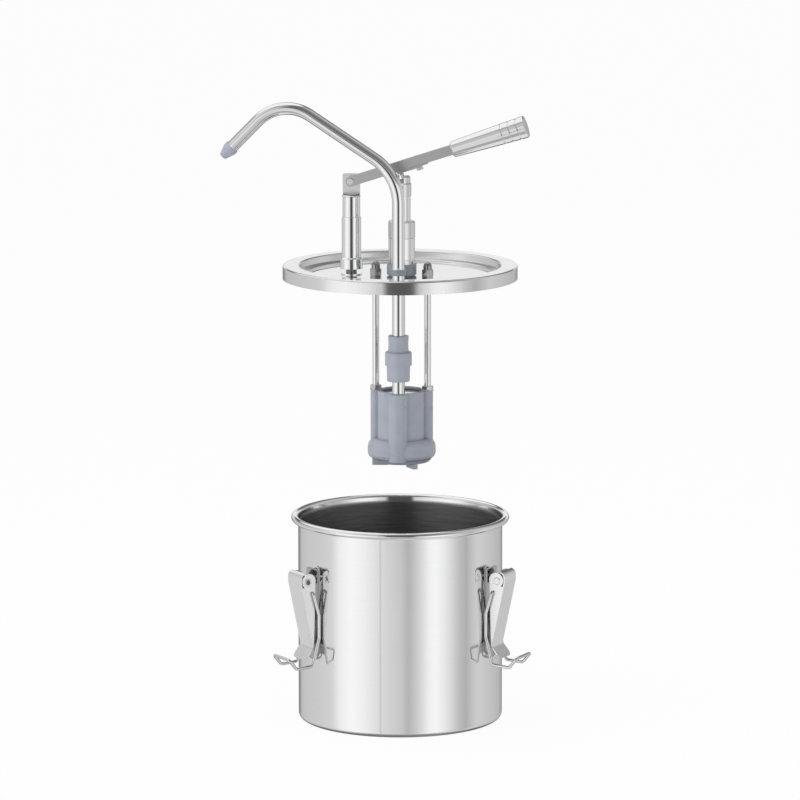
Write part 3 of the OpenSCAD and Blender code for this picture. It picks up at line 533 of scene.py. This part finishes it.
def rivet_heads():
    """A low flat head on one end of each latch rivet, and the rolled rim of its hollow other end, whose
    shallow floor is near-black: painted shade.
    """
    reach, sunk, proud, r, hollow = 0.0107, -0.0002, 0.0006, 0.0033, 0.0020
    edge = [(r, sunk), (r, proud - 0.00035), (r - 0.0004, proud)]
    head = [(0, sunk), *edge, (0, proud)]
    rim = [(hollow, sunk), *edge, (hollow + 0.0003, proud), (hollow, proud - 0.0003)]
    floor = [(0, sunk), (hollow, sunk), (hollow, 0.0002), (0.0007, 0.00012), (0, 0.0003)]
    for i, degrees in enumerate(LATCH_TURNS, 1):
        out = math.radians(degrees)
        along = Vector((-math.sin(out), math.cos(out), 0))
        mid = Vector((math.cos(out), math.sin(out), 0)) * RIVET_R + Vector((0, 0, RIVET_Z))
        for kind, outline, finish, side in (("head", head, "rivet", -1), ("rim", rim, "rivet", 1),
                                            ("hollow", floor, "hollow", 1)):
            turned("rivet_%s_%d" % (kind, i), outline, mats[finish], "pot", mid + along * side * reach,
                   along * side, 32)


post_rings()
stud_thread()
rivet_heads()


# ---------------------------------------------------------------- camera

def place_camera():
    dist, focal_px, sensor = 4.7992, 5454.0, 36
    target = RIGHTWARD * -0.00014 + Vector((0, 0, 0.28434))
    back = CAMWARD * math.cos(CAM_EL) + Vector((0, 0, math.sin(CAM_EL)))
    right = RIGHTWARD * math.cos(CAM_ROLL) + back.cross(RIGHTWARD) * math.sin(CAM_ROLL)
    data = bpy.data.cameras.new("camera")
    data.sensor_width = sensor
    data.lens = focal_px * sensor / PHOTO_W
    data.clip_end = 100
    m = Matrix((right, back.cross(right), back)).transposed().to_4x4()
    m.translation = target + dist * back
    cam = put("camera", data)
    cam.matrix_world = m
    bpy.context.scene.camera = cam


place_camera()


# ---------------------------------------------------------------- studio

# Brightness of the studio round the object, by degrees to the right of the camera's side, in four
# belts from the floor up: below the horizon, which the upright walls mirror; just above it, which the
# lid mirrors; higher, which the latches mirror; and near the top, which the tube's bends and the
# lever's grip mirror
BELOW = [(-180, 0.26), (-158, 0.30), (-152, 0.56), (-144, 0.63), (-128, 0.69), (-98, 0.75), (-84, 0.80),
         (-72, 1.06), (-57, 1.16), (-40, 1.06), (-27, 0.92), (-23.6, 0.88), (-23.0, 0.66), (-22.2, 0.66),
         (-21.6, 0.86), (0, 0.72), (9, 0.57), (16, 0.68), (25, 0.88), (33, 1.09), (40, 1.14), (50, 1.03),
         (60, 0.84), (70, 0.64), (80, 0.53), (90, 0.68), (98, 0.76), (128, 0.64), (152, 0.54), (166, 0.30),
         (180, 0.26)]
ABOVE = [(-180, 0.95), (-160, 0.85), (-145, 0.60), (-128, 0.60), (-98, 0.70), (-84, 0.78), (-72, 1.06),
         (-57, 1.16), (-40, 1.06), (-27, 0.92), (-20, 0.80), (0, 0.70), (9, 0.57), (16, 0.68), (25, 0.88),
         (33, 1.09), (40, 1.14), (50, 1.03), (60, 0.84), (70, 0.64), (80, 0.53), (90, 0.68), (98, 0.76),
         (112, 0.70), (128, 0.60), (145, 0.60), (160, 0.85), (180, 0.95)]
HIGHER = [(-180, 0.14), (-150, 0.20), (-112, 0.60), (-84, 0.84), (-66, 0.78), (-45, 0.62), (-27, 0.66),
          (-21, 0.30), (-15, 0.18), (12, 0.18), (26, 0.22), (54, 0.28), (80, 0.58), (112, 0.60), (150, 0.20),
          (180, 0.14)]
TOP = [(-180, 0.14), (-150, 0.20), (-112, 0.60), (-84, 0.84), (-66, 0.78), (-50, 0.36), (-24, 0.34),
       (-15, 0.18), (12, 0.18), (26, 0.22), (54, 0.28), (80, 0.58), (112, 0.60), (150, 0.20), (180, 0.14)]
BRIGHTEST = 1.2


def studio_world():
    """What the steel mirrors. The camera itself sees plain white."""
    w = bpy.data.worlds.new("studio")
    bpy.context.scene.world = w
    w.use_nodes = True
    t = w.node_tree
    t.nodes.clear()
    out = t.nodes.new("ShaderNodeOutputWorld")
    way = t.nodes.new("ShaderNodeTexCoord").outputs["Generated"]
    right, near = (vector_node(t, "DOT_PRODUCT", way, v, "Value") for v in (RIGHTWARD, CAMWARD))
    height = split(t, way)[2]
    turn = mapped(t, math_node(t, "ARCTAN2", right, near), -math.pi, math.pi)

    def belt(levels):
        n = t.nodes.new("ShaderNodeValToRGB")
        link(t, turn, n.inputs[0])
        e = n.color_ramp.elements
        while len(e) > 1:
            e.remove(e[-1])
        for i, (degrees, level) in enumerate(levels):
            place = (degrees + 180) / 360
            s = e[0] if i == 0 else e.new(place)
            s.position = place
            s.color = (*[level / BRIGHTEST] * 3, 1)
        return n.outputs[0]

    def over(lower, value, low, high, upper):
        """The upper shade laid over the lower one as the value goes from low to high."""
        return blend_colour(t, mapped(t, value, low, high), lower, upper)

    # A white panel overhead, which comes lower behind the object and to its left
    reach = math_node(t, "SUBTRACT", height, math_node(t, "MULTIPLY", near, 0.39))
    reach = math_node(t, "ADD", reach, math_node(t, "MINIMUM", math_node(t, "MULTIPLY", right, -0.5), 0.18))
    # A pale floor under the object, a little to its right
    dip = math_node(t, "SUBTRACT", math_node(t, "MULTIPLY", right, 0.22), math_node(t, "MULTIPLY", near, 0.1))
    dip = math_node(t, "SUBTRACT", dip, math_node(t, "MULTIPLY", height, 0.97))
    # The grey stretch between that floor and the belts: dark behind, pale beside, darker in front
    low_dark, low_pale, low_front = ((v, v, v) for v in (0.12, 0.62, 0.38))
    low_grey = over(over(low_dark, near, -0.45, -0.30, low_pale), near, 0.15, 0.38, low_front)

    sky = over(belt(BELOW), height, -0.04, 0.06, belt(ABOVE))
    sky = over(sky, height, 0.20, 0.27, belt(HIGHER))
    sky = over(sky, height, 0.66, 0.74, belt(TOP))
    sky = over(sky, reach, 0.88, 0.93, (0.90, 0.90, 0.90))
    sky = blend_colour(t, mapped(t, height, -0.66, -0.60, 1.0, 0.0), sky, low_grey)
    sky = over(sky, dip, 0.86, 0.91, (0.76, 0.76, 0.76))
    bands = t.nodes.new("ShaderNodeBackground")
    bands.inputs["Strength"].default_value = BRIGHTEST
    link(t, sky, bands.inputs["Color"])
    plain = t.nodes.new("ShaderNodeBackground")
    plain.inputs["Color"].default_value = (1, 1, 1, 1)
    seen = t.nodes.new("ShaderNodeLightPath").outputs["Is Camera Ray"]
    link(t, mix_shaders(t, seen, bands.outputs[0], plain.outputs[0]), out.inputs[0])


def soft_light(name, place, aim, size, power):
    """A large lamp that no mirror shows."""
    data = bpy.data.lights.new(name, "AREA")
    data.shape = "RECTANGLE"
    data.size, data.size_y = size
    data.energy = power
    o = put(name, data)
    o.location = place
    o.rotation_euler = (Vector(aim) - Vector(place)).to_track_quat("-Z", "Y").to_euler()
    o.visible_camera = o.visible_glossy = False


def pale_floor():
    """A plain floor that the camera sees as nearly white, with the object's soft shadow on it."""
    bm = bmesh.new()
    bmesh.ops.create_circle(bm, cap_ends=True, radius=12, segments=64)
    me = bpy.data.meshes.new("floor")
    bm.to_mesh(me)
    bm.free()
    o = put("floor", me)
    m, t, b = start_surface("pale_floor")
    b.inputs["Base Color"].default_value = (0.92, 0.92, 0.92, 1)
    b.inputs["Roughness"].default_value = 0.9
    b.inputs["Specular IOR Level"].default_value = 0.1
    seen = t.nodes.new("ShaderNodeLightPath").outputs["Is Camera Ray"]
    glow = math_node(t, "MULTIPLY", seen, 0.95)
    link(t, mix_shaders(t, glow, b.outputs[0], emission(t, 1.0)), t.nodes["Material Output"].inputs[0])
    me.materials.append(m)
    o.visible_glossy = False


def dark_card():
    """A dark card with soft edges, far off on the camera's side, which only mirrors see. The upright
    parts mirror it as their dark middle band."""
    away, half, low, high = 3.0, 0.98, -0.36, 1.0
    mid = CAMWARD * away
    side = RIGHTWARD * half
    me = bpy.data.meshes.new("dark_card")
    corners = ((-1, low), (1, low), (1, high), (-1, high))
    me.from_pydata([mid + side * x + Vector((0, 0, z)) for x, z in corners], [], [(0, 1, 2, 3)])
    o = put("dark_card", me)
    m, t, out = start_material("dark_card")
    place = split(t, t.nodes.new("ShaderNodeTexCoord").outputs["Generated"])
    from_middle = math_node(t, "ABSOLUTE", math_node(t, "SUBTRACT", place[0], 0.5))
    side_fade = mapped(t, from_middle, 0.34, 0.48)
    foot_fade = mapped(t, place[2], 0.0, 0.106, 1.0, 0.0)
    clear = t.nodes.new("ShaderNodeBsdfTransparent").outputs[0]
    link(t, mix_shaders(t, math_node(t, "MAXIMUM", side_fade, foot_fade), emission(t, 0.085), clear),
         out.inputs[0])
    me.materials.append(m)
    o.visible_camera = o.visible_diffuse = o.visible_shadow = False


studio_world()
soft_light("overhead", (0.2, -0.6, 2.4), (0, 0, 0.2), (1.6, 1.6), 14)
soft_light("left_box", (-1.6, -1.3, 1.1), (0, 0, 0.3), (0.8, 1.4), 6)
pale_floor()
dark_card()

bpy.context.scene.view_settings.view_transform = "Standard"
